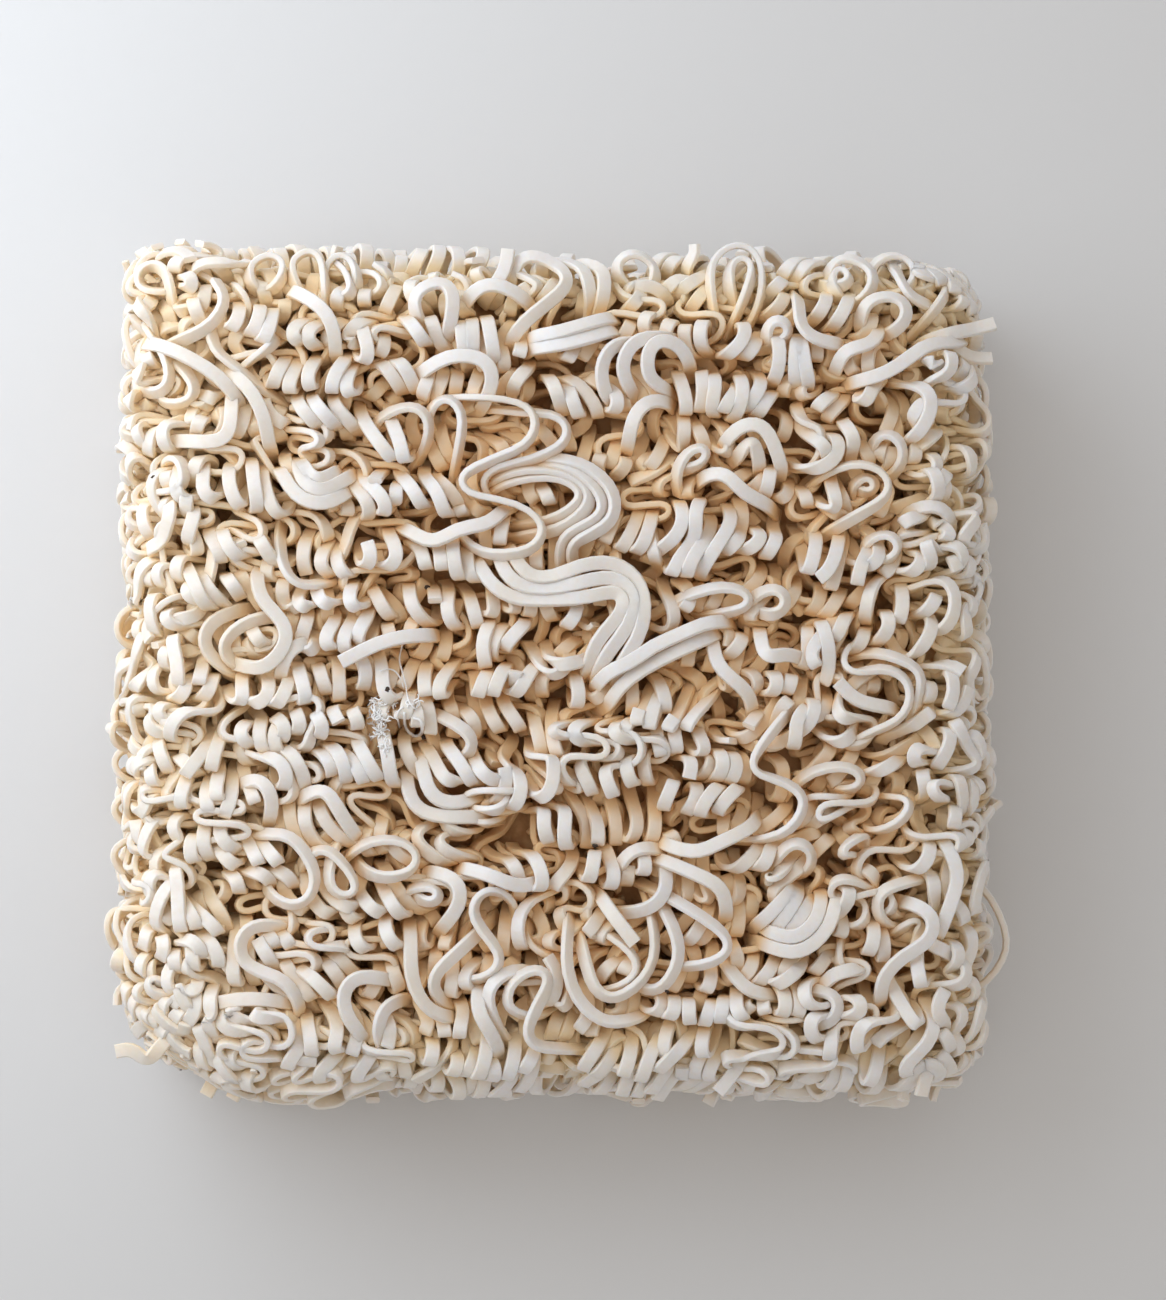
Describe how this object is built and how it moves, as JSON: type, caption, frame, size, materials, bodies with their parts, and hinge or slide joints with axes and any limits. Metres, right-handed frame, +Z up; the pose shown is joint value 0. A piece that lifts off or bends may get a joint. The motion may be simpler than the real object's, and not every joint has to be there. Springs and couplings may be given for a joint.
{
  "type": "block of instant noodles",
  "caption": "Square cake of dried wavy noodle strands with rounded edges, resting on its wider flat face.",
  "frame": {"origin": "middle of the flat underside", "axes": "+X along the longer side, +Y along the way the strands travel, +Z up through the smaller face"},
  "size_m": [0.0994, 0.0964, 0.029],
  "materials": {
    "noodle_dough": "dried wheat dough, pale cream, soft waxy sheen"
  },
  "bodies": {
    "root": {"noodle_block": "noodle_dough"}
  },
  "joints": []
}
